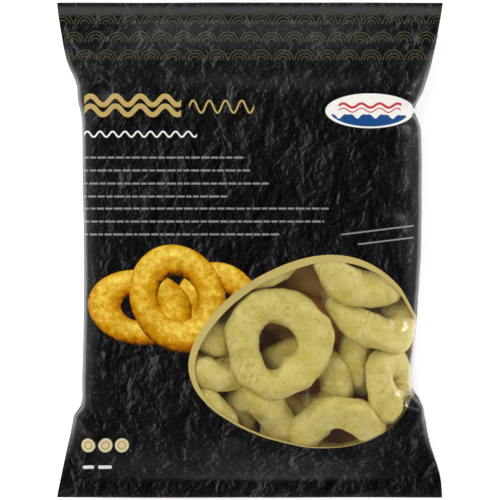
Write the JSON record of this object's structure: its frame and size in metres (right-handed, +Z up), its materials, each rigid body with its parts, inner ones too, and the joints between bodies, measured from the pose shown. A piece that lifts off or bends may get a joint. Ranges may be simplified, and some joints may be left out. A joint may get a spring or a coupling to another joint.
{
  "type": "bag of frozen battered squid rings",
  "caption": "Filled pillow bag of frozen battered squid rings, lying on its back, with sealed ends and a clear window that wraps one side.",
  "frame": {"origin": "on the floor under the middle of the bag", "axes": "+Z up from the floor through the bag's front, +Y along the bag towards its top seal, +X across it towards the right as its front is read"},
  "size_m": [0.2342, 0.3, 0.0644],
  "materials": {
    "printed_film": "printed polyethylene film with a soft sheen",
    "window_film": "clear polyethylene film",
    "battered_ring": "pale yellow batter, pre-fried and frozen"
  },
  "bodies": {
    "root": {"bag": "printed_film"}
  },
  "joints": []
}
